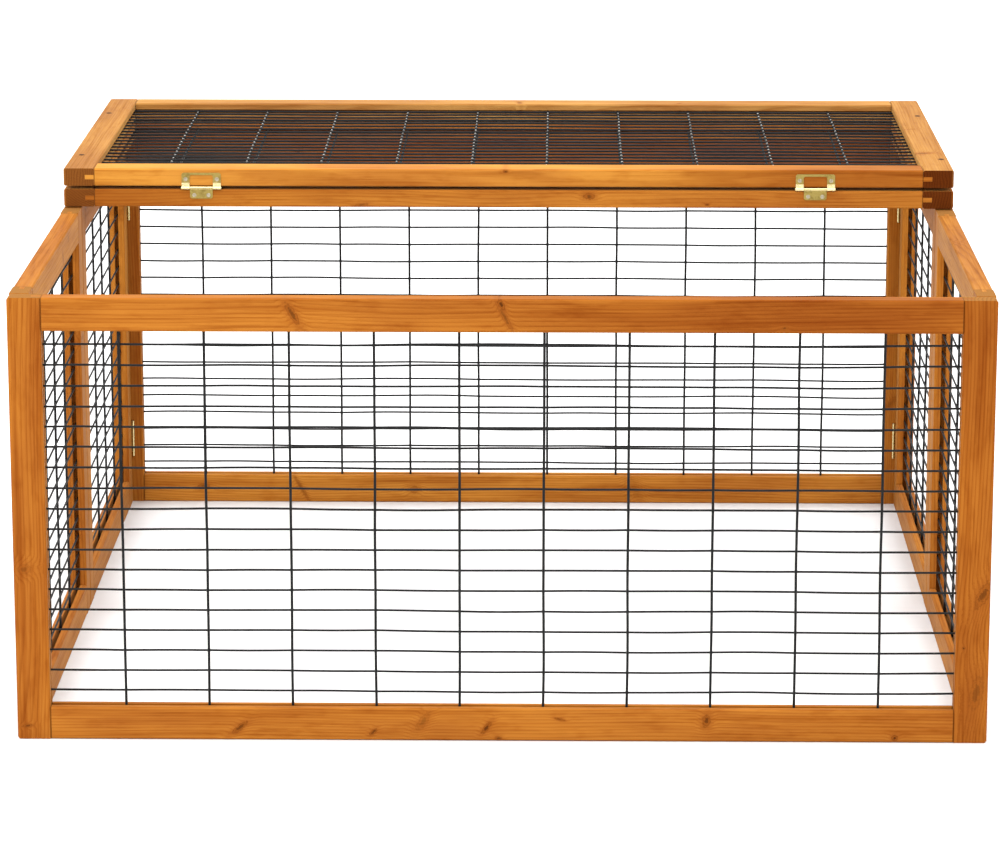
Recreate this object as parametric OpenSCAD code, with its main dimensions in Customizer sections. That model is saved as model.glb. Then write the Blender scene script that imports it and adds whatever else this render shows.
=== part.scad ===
// Folding outdoor run for rabbits: two long mesh panels joined by two bifold
// sides, under a mesh lid in two halves.  Drawn in millimetres and set up for
// use, with the front half of the lid folded back on the rear half.
// X runs to the right, Y to the rear and Z up; the origin is on the ground,
// under the middle of the whole, hinge barrels included.

/* [Run] */
// Width of the run, left to right
run_w = 1160; // [1140:5:1400]
// Height of the upright panels
run_h = 540; // [380:5:760]
// Length of one half of a folding side
half_len = 550; // [380:5:552]

/* [Timber] */
// Thickness of every panel and lid
panel_t = 23; // [20:0.5:28]
// Width of the posts and rails
member_w = 40; // [34:1:50]
// Chamfer along the long edges of the timber
edge_chamfer = 1.6; // [0.5:0.1:3]
// Chamfer on the outer corners at the end of a post
end_chamfer = 2.4; // [0.5:0.1:5]
// Width of the groove in the inner edge of each post and rail
groove_w = 6; // [5:0.5:8]
// Depth of the groove
groove_d = 12; // [9:0.5:16]
// Clearance of a tongue in its groove, on each side and at its end
tongue_gap = 0.1; // [0.05:0.05:0.3]
// Open line between the shoulder of a rail and its post
shoulder_gap = 0.2; // [0.05:0.05:0.5]

/* [Welded mesh] */
// Spacing of the wires that stand upright
upright_pitch = 100; // [50:5:120]
// Spacing of the wires that lie across
cross_pitch = 25; // [20:2.5:50]
// Diameter of the upright wires
upright_d = 2.7; // [2:0.1:3]
// Diameter of the cross wires
cross_d = 2.1; // [1.6:0.1:2.4]
// Depth by which crossing wires are pressed into each other at a weld
weld_sink = 0.3; // [0.1:0.05:0.5]
// Clearance between the cut ends of the wires and the bottom of the groove
wire_end_gap = 0.3; // [0.1:0.05:0.8]

/* [Hinges] */
// Length of the barrel, and width of the large leaf
barrel_l = 51; // [42:1:64]
// Diameter of the barrel
barrel_d = 4.1; // [3.6:0.1:4.2]
// Diameter of the pin
pin_d = 2.4; // [1.8:0.1:2.6]
// Running clearance of the pin, on its radius
pin_gap = 0.08; // [0.04:0.01:0.1]
// Diameter of the peened heads of the pin
pin_head_d = 3.4; // [3:0.1:3.6]
// Thickness of a peened head
pin_head_h = 0.6; // [0.3:0.1:1]
// Thickness of the leaves
leaf_t = 1.2; // [0.9:0.1:1.5]
// Space left over the nested leaves of a closed hinge
leaf_gap = 0.3; // [0.2:0.05:0.6]
// Reach of the large leaf from the pin
large_reach = 20; // [18:0.5:21]
// Width of the bar that closes the window of the large leaf
large_bar = 3; // [2:0.5:3.5]
// Width of each leg of the large leaf
large_leg = 10.25; // [8:0.25:11]
// Reach of the small leaf from the pin
small_reach = 14; // [12:0.5:14.5]
// Clearance of the small leaf in the window of the large leaf, on each side
window_gap = 0.5; // [0.3:0.1:1]
// Cut at the corners of the leaves
leaf_corner = 1.8; // [0.5:0.1:2.5]
// Distance of the pin from the timber face beside it
pin_proud = 2.2; // [2.15:0.05:2.6]
// Clearance round a barrel that is let into a panel
bed_gap = 0.3; // [0.2:0.05:0.6]
// Height of the middle of the lower hinges above the ground
hinge_low = 95; // [70:1:150]
// Distance of the middle of the upper hinges below the top of the panels
hinge_high_drop = 95; // [70:1:150]
// Distance of the middle of the lid hinges from the ends of the lid
lid_hinge_edge = 180; // [70:5:300]

/* [Screws] */
// Diameter of the shank
shank_d = 2.9; // [2.4:0.1:3.2]
// Diameter of the countersunk head
head_d = 5.4; // [4.6:0.1:5.8]
// Length of a screw
screw_l = 12; // [9:0.5:14]
// Span of the cross recess in a head
recess_l = 2.9; // [2:0.1:3.4]
// Width of the arms of the recess
recess_w = 0.7; // [0.5:0.05:0.9]
// Depth of the recess
recess_d = 0.8; // [0.4:0.1:1]
// Clearance of a screw in the leaf and in the timber, on its radius
screw_gap = 0.05; // [0.02:0.01:0.1]
// Distance of the screws of the large leaf from the pin
large_screw_x = 11.5; // [9:0.5:13]
// Distance of the screws of the small leaf from the pin
small_screw_x = 9.5; // [8:0.5:10.5]
// Distance of the screws of the small leaf from its ends
small_screw_edge = 5.5; // [4:0.5:7.5]

/* [Hidden] */
$fn = 32;
wire_sides = 8;                                   // a wire is drawn with flats
cut_over = 1;                                     // overshoot of a cutting solid
wood = [0.84, 0.53, 0.25];
wood_light = [0.90, 0.62, 0.33];
wire_black = [0.13, 0.13, 0.13];
brass_yellow = [0.83, 0.68, 0.33];
zinc_pale = [0.80, 0.78, 0.70];

hinge_gap = leaf_t + leaf_gap;                    // between two butted faces
lid_gap = 2 * pin_proud;                          // between the stacked lids
run_d = 2 * panel_t + 2 * half_len + 3 * hinge_gap;
mid_y = -(pin_proud + barrel_d / 2) / 2;          // the rear barrels stand proud
lid_len = (run_d - hinge_gap) / 2;                // front to rear, one lid half
lid_front_y = mid_y + run_d / 2 - lid_len;        // edge where the halves meet
rear_lid_z = run_h + hinge_gap;                   // underside of the rear half
front_lid_z = rear_lid_z + panel_t + lid_gap;     // underside of the front half
hinge_heights = [hinge_low, run_h - hinge_high_drop];
leg_inner = barrel_l / 2 - large_leg;             // inner edge of a leg
small_half = leg_inner - window_gap;              // half width of the small leaf
large_screw_z = (barrel_l - large_leg) / 2;       // the middle of a leg
small_screw_z = small_half - small_screw_edge;
lid_hinge_x = run_w / 2 - lid_hinge_edge;
LEFT = -1;
RIGHT = 1;
FORE = -1;
AFT = 1;

// ---------------------------------------------------------------- timber
// A panel is drawn in its own frame: x across, y through it, z up from its
// lower edge, with x = 0 at its middle.

// Section of a post or rail: x from the outer edge to the grooved inner edge.
module member_section() {
    half_t = panel_t / 2;
    half_g = groove_w / 2;
    floor_x = member_w - groove_d;
    c = edge_chamfer;
    polygon([
        [0, c - half_t], [c, -half_t], [member_w - c, -half_t],
        [member_w, c - half_t], [member_w, -half_g], [floor_x, -half_g],
        [floor_x, half_g], [member_w, half_g], [member_w, half_t - c],
        [member_w - c, half_t], [c, half_t], [0, half_t - c]
    ]);
}

// Side view of a post, with its two outer corners cut.
module post_outline(length) {
    polygon([
        [0, end_chamfer], [end_chamfer, 0], [member_w, 0],
        [member_w, length], [end_chamfer, length], [0, length - end_chamfer]
    ]);
}

// A full-length post with its outer edge on x = 0 and its groove towards +x.
module post(length) {
    intersection() {
        linear_extrude(length) member_section();
        translate([0, panel_t / 2, 0])
            rotate([90, 0, 0])
                linear_extrude(panel_t) post_outline(length);
    }
}

// A rail with its outer edge on z = 0, its groove upwards, and a tongue at
// each end that fills the groove of the post.
module rail(open_w) {
    tongue_l = open_w + 2 * (groove_d - tongue_gap);
    tongue_t = groove_w - 2 * tongue_gap;
    union() {
        mirror([0, 0, 1])
            rotate([0, 90, 0])
                linear_extrude(open_w - 2 * shoulder_gap, center = true)
                    member_section();
        translate([-tongue_l / 2, -tongue_t / 2, 0])
            cube([tongue_l, tongue_t, member_w - groove_d]);
    }
}

// The places of wires at one pitch, even about the middle, for an opening
// whose edges are grooved.
function wire_places(opening, pitch, d) =
    let (reach = opening / 2 + groove_d - wire_end_gap - d / 2,
         pairs = floor(reach / pitch + 0.5))
    [for (i = [-pairs : pairs - 1]) (i + 0.5) * pitch];

// One sheet of welded mesh for an opening, centred on the origin.
module wire_sheet(open_w, open_h) {
    sheet_w = open_w + 2 * (groove_d - wire_end_gap);
    sheet_h = open_h + 2 * (groove_d - wire_end_gap);
    sheet_t = upright_d + cross_d - weld_sink;
    for (x = wire_places(open_w, upright_pitch, upright_d))
        translate([x, (upright_d - sheet_t) / 2, 0])
            cylinder(d = upright_d, h = sheet_h, center = true, $fn = wire_sides);
    for (z = wire_places(open_h, cross_pitch, cross_d))
        translate([0, (sheet_t - cross_d) / 2, z])
            rotate([0, 90, 0])
                cylinder(d = cross_d, h = sheet_w, center = true, $fn = wire_sides);
}

// The pieces of one panel, by the side of the panel that each one is on.
module panel_post(side, width, height) {
    color(wood)
        mirror_to(side)
            translate([-width / 2, 0, 0])
                post(height);
}

module panel_bottom_rail(width) {
    color(wood)
        rail(width - 2 * member_w);
}

module panel_top_rail(width, height) {
    color(wood_light)
        translate([0, 0, height])
            mirror([0, 0, 1])
                rail(width - 2 * member_w);
}

module panel_mesh(width, height) {
    color(wire_black)
        translate([0, 0, height / 2])
            wire_sheet(width - 2 * member_w, height - 2 * member_w);
}

// Turns what is drawn for the left into its right-hand copy.
module mirror_to(side) {
    if (side == RIGHT) mirror([1, 0, 0]) children();
    else children();
}

// ---------------------------------------------------------------- places
// The front and rear panels, each with its upright wires outwards.
module in_long_panel(end) {
    translate([0, mid_y + end * (run_d - panel_t) / 2, 0])
        rotate([0, 0, end == AFT ? 180 : 0])
            children();
}

// The four half sides, each with its upright wires outwards.
module in_half_side(side, end) {
    mirror_to(side)
        translate([(panel_t - run_w) / 2, mid_y + end * (half_len + hinge_gap) / 2, 0])
            rotate([0, 0, -90])
                children();
}

// The rear lid half, with the panel's z to the rear and its upright wires on top.
module in_rear_lid() {
    translate([0, lid_front_y, rear_lid_z + panel_t / 2])
        rotate([-90, 0, 0])
            children();
}

// The front lid half lies face down on the rear one, with the panel's z to the front.
module in_front_lid() {
    translate([0, lid_front_y + lid_len, front_lid_z + panel_t / 2])
        rotate([90, 0, 0])
            children();
}

// ---------------------------------------------------------------- hinges
// A closed hinge is drawn with its pin on z and both leaves towards +x. The
// large leaf is screwed to the timber at y = -hinge_gap / 2, the small one to
// the timber at y = hinge_gap / 2, and the small leaf fills the window.

module large_leaf_outline() {
    end_z = barrel_l / 2;
    window_x = large_reach - large_bar;
    c = leaf_corner;
    polygon([
        [0, -end_z], [large_reach - c, -end_z], [large_reach, c - end_z],
        [large_reach, end_z - c], [large_reach - c, end_z], [0, end_z],
        [0, leg_inner], [window_x - c, leg_inner], [window_x, leg_inner - c],
        [window_x, c - leg_inner], [window_x - c, -leg_inner], [0, -leg_inner]
    ]);
}

module small_leaf_outline() {
    c = leaf_corner;
    polygon([
        [0, -small_half], [small_reach - c, -small_half],
        [small_reach, c - small_half], [small_reach, small_half - c],
        [small_reach - c, small_half], [0, small_half]
    ]);
}

// A flat leaf made from its outline, with its faces at y = low and low + leaf_t.
module leaf_plate(low) {
    translate([0, low + leaf_t, 0])
        rotate([90, 0, 0])
            linear_extrude(leaf_t) children();
}

module pin_bore() {
    cylinder(d = pin_d + 2 * pin_gap, h = barrel_l + 2 * cut_over, center = true);
}

module large_leaf() {
    color(brass_yellow)
        difference() {
            union() {
                leaf_plate(-hinge_gap / 2) large_leaf_outline();
                for (end = [-1, 1])
                    translate([0, 0, end * large_screw_z])
                        cylinder(d = barrel_d, h = large_leg, center = true);
            }
            pin_bore();
            at_large_screws() screw_seat();
        }
}

module small_leaf() {
    color(brass_yellow)
        difference() {
            union() {
                leaf_plate(hinge_gap / 2 - leaf_t) small_leaf_outline();
                cylinder(d = barrel_d, h = 2 * small_half, center = true);
            }
            pin_bore();
            at_small_screws() screw_seat();
        }
}

module hinge_pin() {
    color(zinc_pale) {
        cylinder(d = pin_d, h = barrel_l, center = true);
        for (end = [-1, 1])
            translate([0, 0, end * (barrel_l + pin_head_h) / 2])
                cylinder(d = pin_head_d, h = pin_head_h, center = true);
    }
}

// The hollow in a panel face that a barrel lies in.
module barrel_bed() {
    cylinder(d = barrel_d + 2 * bed_gap, center = true,
             h = barrel_l + 2 * pin_head_h + 2 * bed_gap);
}

// ---------------------------------------------------------------- screws
// A screw is drawn with the top of its head on z = 0 and its point down.
module screw() {
    color(zinc_pale)
        difference() {
            rotate_extrude()
                polygon([
                    [0, -screw_l], [shank_d / 2, shank_d / 2 - screw_l],
                    [shank_d / 2, -leaf_t], [head_d / 2, 0], [0, 0]
                ]);
            cross_recess();
        }
}

module cross_recess() {
    for (turn = [0, 90])
        rotate([0, 0, turn])
            translate([-recess_l / 2, -recess_w / 2, -recess_d])
                cube([recess_l, recess_w, recess_d + cut_over]);
}

module screw_seat() {
    shank_r = shank_d / 2 + screw_gap;
    head_r = head_d / 2 + screw_gap;
    rotate_extrude()
        polygon([
            [0, -leaf_t - cut_over], [shank_r, -leaf_t - cut_over],
            [shank_r, -leaf_t], [head_r, 0], [head_r, cut_over], [0, cut_over]
        ]);
}

module pilot_hole() {
    translate([0, 0, -screw_l - screw_gap])
        cylinder(d = shank_d + 2 * screw_gap, h = screw_l + cut_over);
}

module at_large_screws() {
    for (end = [-1, 1])
        translate([large_screw_x, leaf_t - hinge_gap / 2, end * large_screw_z])
            rotate([-90, 0, 0])
                children();
}

module at_small_screws() {
    for (end = [-1, 1])
        translate([small_screw_x, hinge_gap / 2 - leaf_t, end * small_screw_z])
            rotate([90, 0, 0])
                children();
}

// ---------------------------------------------------------------- joints
// Inner corner of a panel and a side: the large leaf is on the aft timber.
module at_corner_hinges(side, end) {
    for (z = hinge_heights)
        mirror_to(side)
            translate([panel_t + pin_proud - run_w / 2,
                       mid_y + end * (run_d / 2 - panel_t - hinge_gap / 2), z])
                rotate([0, 0, 180])
                    children();
}

// Outer face of a side, where its halves meet: the large leaf is on the fore half.
module at_side_hinges(side) {
    for (z = hinge_heights)
        mirror_to(side)
            translate([-run_w / 2 - pin_proud, mid_y, z])
                children();
}

// Rear edge of the top: the large leaf is on the rear panel.
module at_rear_lid_hinges() {
    for (x = [-lid_hinge_x, lid_hinge_x])
        translate([x, mid_y + run_d / 2 + pin_proud, run_h + hinge_gap / 2])
            rotate([90, 0, -90])
                children();
}

// Edge where the lid halves meet, hinge open: the large leaf is on the front
// half, which lies on top.
module at_lid_hinges() {
    for (x = [-lid_hinge_x, lid_hinge_x])
        translate([x, lid_front_y - hinge_gap / 2, front_lid_z - pin_proud])
            rotate([180, -90, 0])
                children();
}

module opened() {
    rotate([0, 0, 180])
        children();
}

// ---------------------------------------------------------------- cuts
module front_panel_cuts() {
    for (side = [LEFT, RIGHT])
        at_corner_hinges(side, FORE) {
            barrel_bed();
            at_small_screws() pilot_hole();
        }
}

module rear_panel_cuts() {
    for (side = [LEFT, RIGHT])
        at_corner_hinges(side, AFT) {
            barrel_bed();
            at_large_screws() pilot_hole();
        }
    at_rear_lid_hinges() at_large_screws() pilot_hole();
}

module half_side_cuts(side, end) {
    if (end == FORE) {
        at_corner_hinges(side, FORE) at_large_screws() pilot_hole();
        at_side_hinges(side) at_large_screws() pilot_hole();
    } else {
        at_corner_hinges(side, AFT) at_small_screws() pilot_hole();
        at_side_hinges(side) at_small_screws() pilot_hole();
    }
}

module rear_lid_cuts() {
    at_rear_lid_hinges() at_small_screws() pilot_hole();
    at_lid_hinges() opened() at_small_screws() pilot_hole();
}

module front_lid_cuts() {
    at_lid_hinges() at_large_screws() pilot_hole();
}

// ---------------------------------------------------------------- pieces
module long_panel_cuts(end) {
    if (end == FORE) front_panel_cuts();
    else rear_panel_cuts();
}

// The rear panel is turned round, so its post on the run's left is its own right.
module long_panel_post(end, side) {
    difference() {
        in_long_panel(end) panel_post(-end * side, run_w, run_h);
        long_panel_cuts(end);
    }
}

module long_panel_bottom_rail(end) {
    in_long_panel(end) panel_bottom_rail(run_w);
}

module long_panel_top_rail(end) {
    difference() {
        in_long_panel(end) panel_top_rail(run_w, run_h);
        long_panel_cuts(end);
    }
}

module long_panel_mesh(end) {
    in_long_panel(end) panel_mesh(run_w, run_h);
}

// In a half side, the post on its own left is the rear one.
module half_side_post(side, end, place) {
    difference() {
        in_half_side(side, end) panel_post(-place, half_len, run_h);
        half_side_cuts(side, end);
    }
}

module half_side_bottom_rail(side, end) {
    in_half_side(side, end) panel_bottom_rail(half_len);
}

module half_side_top_rail(side, end) {
    in_half_side(side, end) panel_top_rail(half_len, run_h);
}

module half_side_mesh(side, end) {
    in_half_side(side, end) panel_mesh(half_len, run_h);
}

module rear_lid_side_rail(side) {
    in_rear_lid() panel_post(side, run_w, lid_len);
}

module rear_lid_meeting_rail() {
    difference() {
        in_rear_lid() panel_bottom_rail(run_w);
        rear_lid_cuts();
    }
}

module rear_lid_hinge_rail() {
    difference() {
        in_rear_lid() panel_top_rail(run_w, lid_len);
        rear_lid_cuts();
    }
}

module rear_lid_mesh() {
    in_rear_lid() panel_mesh(run_w, lid_len);
}

module front_lid_side_rail(side) {
    in_front_lid() panel_post(side, run_w, lid_len);
}

module front_lid_meeting_rail() {
    difference() {
        in_front_lid() panel_top_rail(run_w, lid_len);
        front_lid_cuts();
    }
}

module front_lid_free_rail() {
    in_front_lid() panel_bottom_rail(run_w);
}

module front_lid_mesh() {
    in_front_lid() panel_mesh(run_w, lid_len);
}

// ---------------------------------------------------------------- ironwork
module front_panel_leaves() {
    for (side = [LEFT, RIGHT])
        at_corner_hinges(side, FORE) small_leaf();
}

module rear_panel_leaves() {
    for (side = [LEFT, RIGHT])
        at_corner_hinges(side, AFT) large_leaf();
    at_rear_lid_hinges() large_leaf();
}

module half_side_leaves(side, end) {
    if (end == FORE) {
        at_corner_hinges(side, FORE) large_leaf();
        at_side_hinges(side) large_leaf();
    } else {
        at_corner_hinges(side, AFT) small_leaf();
        at_side_hinges(side) small_leaf();
    }
}

module rear_lid_leaves() {
    at_rear_lid_hinges() small_leaf();
    at_lid_hinges() opened() small_leaf();
}

module front_lid_leaves() {
    at_lid_hinges() large_leaf();
}

module rear_panel_pins() {
    for (side = [LEFT, RIGHT])
        at_corner_hinges(side, AFT) hinge_pin();
    at_rear_lid_hinges() hinge_pin();
}

module half_side_pins(side) {
    at_corner_hinges(side, FORE) hinge_pin();
    at_side_hinges(side) hinge_pin();
}

module front_lid_pins() {
    at_lid_hinges() hinge_pin();
}

module front_panel_screws() {
    for (side = [LEFT, RIGHT])
        at_corner_hinges(side, FORE) at_small_screws() screw();
}

module rear_panel_screws() {
    for (side = [LEFT, RIGHT])
        at_corner_hinges(side, AFT) at_large_screws() screw();
    at_rear_lid_hinges() at_large_screws() screw();
}

module half_side_screws(side, end) {
    if (end == FORE) {
        at_corner_hinges(side, FORE) at_large_screws() screw();
        at_side_hinges(side) at_large_screws() screw();
    } else {
        at_corner_hinges(side, AFT) at_small_screws() screw();
        at_side_hinges(side) at_small_screws() screw();
    }
}

module rear_lid_screws() {
    at_rear_lid_hinges() at_small_screws() screw();
    at_lid_hinges() opened() at_small_screws() screw();
}

module front_lid_screws() {
    at_lid_hinges() at_large_screws() screw();
}

// ---------------------------------------------------------------- the run
long_panel_post(FORE, LEFT);  // front_left_post
long_panel_post(FORE, RIGHT);  // front_right_post
long_panel_bottom_rail(FORE);  // front_bottom_rail
long_panel_top_rail(FORE);  // front_top_rail
long_panel_mesh(FORE);  // front_mesh

long_panel_post(AFT, LEFT);  // rear_left_post
long_panel_post(AFT, RIGHT);  // rear_right_post
long_panel_bottom_rail(AFT);  // rear_bottom_rail
long_panel_top_rail(AFT);  // rear_top_rail
long_panel_mesh(AFT);  // rear_mesh

half_side_post(LEFT, FORE, FORE);  // left_fore_front_post
half_side_post(LEFT, FORE, AFT);  // left_fore_rear_post
half_side_bottom_rail(LEFT, FORE);  // left_fore_bottom_rail
half_side_top_rail(LEFT, FORE);  // left_fore_top_rail
half_side_mesh(LEFT, FORE);  // left_fore_mesh

half_side_post(LEFT, AFT, FORE);  // left_aft_front_post
half_side_post(LEFT, AFT, AFT);  // left_aft_rear_post
half_side_bottom_rail(LEFT, AFT);  // left_aft_bottom_rail
half_side_top_rail(LEFT, AFT);  // left_aft_top_rail
half_side_mesh(LEFT, AFT);  // left_aft_mesh

half_side_post(RIGHT, FORE, FORE);  // right_fore_front_post
half_side_post(RIGHT, FORE, AFT);  // right_fore_rear_post
half_side_bottom_rail(RIGHT, FORE);  // right_fore_bottom_rail
half_side_top_rail(RIGHT, FORE);  // right_fore_top_rail
half_side_mesh(RIGHT, FORE);  // right_fore_mesh

half_side_post(RIGHT, AFT, FORE);  // right_aft_front_post
half_side_post(RIGHT, AFT, AFT);  // right_aft_rear_post
half_side_bottom_rail(RIGHT, AFT);  // right_aft_bottom_rail
half_side_top_rail(RIGHT, AFT);  // right_aft_top_rail
half_side_mesh(RIGHT, AFT);  // right_aft_mesh

rear_lid_side_rail(LEFT);  // rear_lid_left_rail
rear_lid_side_rail(RIGHT);  // rear_lid_right_rail
rear_lid_meeting_rail();
rear_lid_hinge_rail();
rear_lid_mesh();

front_lid_side_rail(LEFT);  // front_lid_left_rail
front_lid_side_rail(RIGHT);  // front_lid_right_rail
front_lid_meeting_rail();
front_lid_free_rail();
front_lid_mesh();

front_panel_leaves();  // front_panel_hinge_leaves
rear_panel_leaves();  // rear_panel_hinge_leaves
half_side_leaves(LEFT, FORE);  // left_fore_hinge_leaves
half_side_leaves(LEFT, AFT);  // left_aft_hinge_leaves
half_side_leaves(RIGHT, FORE);  // right_fore_hinge_leaves
half_side_leaves(RIGHT, AFT);  // right_aft_hinge_leaves
rear_lid_leaves();  // rear_lid_hinge_leaves
front_lid_leaves();  // front_lid_hinge_leaves

rear_panel_pins();  // rear_panel_hinge_pins
half_side_pins(LEFT);  // left_fore_hinge_pins
half_side_pins(RIGHT);  // right_fore_hinge_pins
front_lid_pins();  // front_lid_hinge_pins

front_panel_screws();  // front_panel_hinge_screws
rear_panel_screws();  // rear_panel_hinge_screws
half_side_screws(LEFT, FORE);  // left_fore_hinge_screws
half_side_screws(LEFT, AFT);  // left_aft_hinge_screws
half_side_screws(RIGHT, FORE);  // right_fore_hinge_screws
half_side_screws(RIGHT, AFT);  // right_aft_hinge_screws
rear_lid_screws();  // rear_lid_hinge_screws
front_lid_screws();  // front_lid_hinge_screws
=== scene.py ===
"""Looks of a folding outdoor run for rabbits: stained softwood, black welded mesh and brass hinges.

Lengths are in metres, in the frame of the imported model: +X right, +Y to the rear, +Z up.
"""

import math
import random
from collections import namedtuple

import bpy
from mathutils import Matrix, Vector, noise


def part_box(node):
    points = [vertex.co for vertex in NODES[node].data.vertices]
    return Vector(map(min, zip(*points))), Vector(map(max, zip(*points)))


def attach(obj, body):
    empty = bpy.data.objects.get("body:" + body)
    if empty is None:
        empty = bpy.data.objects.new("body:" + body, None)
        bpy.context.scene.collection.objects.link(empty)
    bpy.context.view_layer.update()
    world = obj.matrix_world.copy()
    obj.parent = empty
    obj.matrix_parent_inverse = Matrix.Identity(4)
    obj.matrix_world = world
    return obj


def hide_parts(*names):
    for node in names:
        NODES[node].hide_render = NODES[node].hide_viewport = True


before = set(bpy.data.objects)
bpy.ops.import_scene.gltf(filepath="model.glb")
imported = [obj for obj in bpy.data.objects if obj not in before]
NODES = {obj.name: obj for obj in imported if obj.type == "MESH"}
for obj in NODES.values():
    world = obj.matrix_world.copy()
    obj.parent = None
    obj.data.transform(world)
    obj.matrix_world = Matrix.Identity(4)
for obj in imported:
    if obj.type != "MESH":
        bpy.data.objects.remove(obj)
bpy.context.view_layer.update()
MM = 0.001
X, Y, Z = Vector((1, 0, 0)), Vector((0, 1, 0)), Vector((0, 0, 1))

# ---------------------------------------------------------------- camera
IMAGE_W = 1000
SENSOR_MM = 36.0
FOCAL_PX = 4111.6
PRINCIPAL_RISE_PX = 40
CAMERA_AT = (0.0693, -5.2778, 1.5253)
PITCH_DOWN = 0.2284
YAW_LEFT = 0.0151


def make_camera():
    data = bpy.data.cameras.new("camera")
    data.sensor_width = SENSOR_MM
    data.lens = SENSOR_MM * FOCAL_PX / IMAGE_W
    data.shift_y = -PRINCIPAL_RISE_PX / IMAGE_W
    camera = bpy.data.objects.new("camera", data)
    camera.location = CAMERA_AT
    camera.rotation_euler = (math.pi / 2 - PITCH_DOWN, 0, YAW_LEFT)
    bpy.context.scene.collection.objects.link(camera)
    bpy.context.scene.camera = camera


# ---------------------------------------------------------------- node helpers
class Tree:
    """A material's node tree, with short calls for the nodes that this scene uses.

    A noise is given as (scale, detail, roughness), and a step as the values where it starts and ends,
    then what it gives there if that isn't 0 and 1.
    """

    def __init__(self, name):
        self.material = bpy.data.materials.new(name)
        self.material.use_nodes = True
        self.nodes = self.material.node_tree.nodes
        self.links = self.material.node_tree.links
        self.nodes.clear()
        self.shader = self.nodes.new("ShaderNodeBsdfPrincipled")
        out = self.nodes.new("ShaderNodeOutputMaterial")
        self.links.new(self.shader.outputs[0], out.inputs[0])
        self.coords = self.nodes.new("ShaderNodeTexCoord")

    def put(self, socket, value):
        """A value or another node's output into a socket."""
        if isinstance(value, bpy.types.NodeSocket):
            self.links.new(value, socket)
        elif value is not None:
            socket.default_value = value

    def shade(self, **values):
        """Values or outputs into the shader's sockets, named with underscores for spaces."""
        for name, value in values.items():
            self.put(self.shader.inputs[name.replace("_", " ")], value)

    def math(self, operation, a, b=None, c=None):
        node = self.nodes.new("ShaderNodeMath")
        node.operation = operation
        for socket, value in zip(node.inputs, (a, b, c)):
            self.put(socket, value)
        return node.outputs[0]

    def vector(self, operation, a, b=None):
        node = self.nodes.new("ShaderNodeVectorMath")
        node.operation = operation
        for socket, value in zip(node.inputs, (a, b)):
            self.put(socket, value)
        return node.outputs["Value" if operation in ("LENGTH", "DOT_PRODUCT") else "Vector"]

    def split(self, vector):
        node = self.nodes.new("ShaderNodeSeparateXYZ")
        self.put(node.inputs[0], vector)
        return list(node.outputs)

    def join(self, x, y, z):
        node = self.nodes.new("ShaderNodeCombineXYZ")
        for socket, value in zip(node.inputs, (x, y, z)):
            self.put(socket, value)
        return node.outputs[0]

    def noise(self, vector, scale, detail=2.0, roughness=0.5, colour=False):
        node = self.nodes.new("ShaderNodeTexNoise")
        self.put(node.inputs["Vector"], vector)
        node.inputs["Scale"].default_value = scale
        node.inputs["Detail"].default_value = detail
        node.inputs["Roughness"].default_value = roughness
        return node.outputs["Color" if colour else "Fac"]

    def ease(self, value, start, end, low=0.0, high=1.0):
        """Smooth step from low at start to high at end."""
        node = self.nodes.new("ShaderNodeMapRange")
        node.interpolation_type = "SMOOTHSTEP"
        for socket, v in zip(node.inputs, (value, start, end, low, high)):
            self.put(socket, v)
        return node.outputs[0]

    def mix(self, factor, a, b, blend="MIX"):
        node = self.nodes.new("ShaderNodeMix")
        node.data_type = "RGBA"
        node.blend_type = blend
        self.put(node.inputs["Factor"], factor)
        self.put(node.inputs["A"], a)
        self.put(node.inputs["B"], b)
        return node.outputs["Result"]

    def tint(self, factor, colour, by):
        """A colour times red, green and blue shares, as far as the factor says."""
        return self.mix(factor, colour, (*by, 1), "MULTIPLY")

    def ramp(self, value, stops):
        """Two colours with an eased change between their places."""
        node = self.nodes.new("ShaderNodeValToRGB")
        node.color_ramp.interpolation = "EASE"
        for element, (place, colour) in zip(node.color_ramp.elements, stops):
            element.position = place
            element.color = (*colour, 1)
        self.put(node.inputs[0], value)
        return node.outputs[0]

    def bump(self, height, distance, strength):
        node = self.nodes.new("ShaderNodeBump")
        node.inputs["Strength"].default_value = strength
        node.inputs["Distance"].default_value = distance
        self.put(node.inputs["Height"], height)
        self.links.new(node.outputs[0], self.shader.inputs["Normal"])


# ---------------------------------------------------------------- piece helpers
# A bevel rounds the edges that turn by more than this
SHARP_DEGREES = 28


def make_piece(name, vertices, faces, material, smooth=False):
    mesh = bpy.data.meshes.new(name)
    mesh.from_pydata([tuple(v) for v in vertices], [], faces)
    mesh.validate()
    for face in mesh.polygons:
        face.use_smooth = smooth
    mesh.materials.append(material)
    piece = bpy.data.objects.new(name, mesh)
    bpy.context.scene.collection.objects.link(piece)
    return piece


def skin(faces, first, rings, sides):
    """Adds the wall and both caps over rings of vertices that start at first."""
    for i in range(rings - 1):
        low, high = first + i * sides, first + (i + 1) * sides
        for k in range(sides):
            n = (k + 1) % sides
            faces.append((low + k, low + n, high + n, high + k))
    last = first + (rings - 1) * sides
    faces.append(tuple(first + k for k in reversed(range(sides))))
    faces.append(tuple(last + k for k in range(sides)))


def set_material(obj, material):
    obj.data.materials.clear()
    obj.data.materials.append(material)


def soften(obj, width, segments):
    """Rounds the edges of a CAD piece with a modifier, and leaves its mesh as it is."""
    bevel = obj.modifiers.new("soft_edges", "BEVEL")
    bevel.width = width
    bevel.segments = segments
    bevel.limit_method = "ANGLE"
    bevel.angle_limit = math.radians(SHARP_DEGREES)
    bevel.use_clamp_overlap = True


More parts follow.
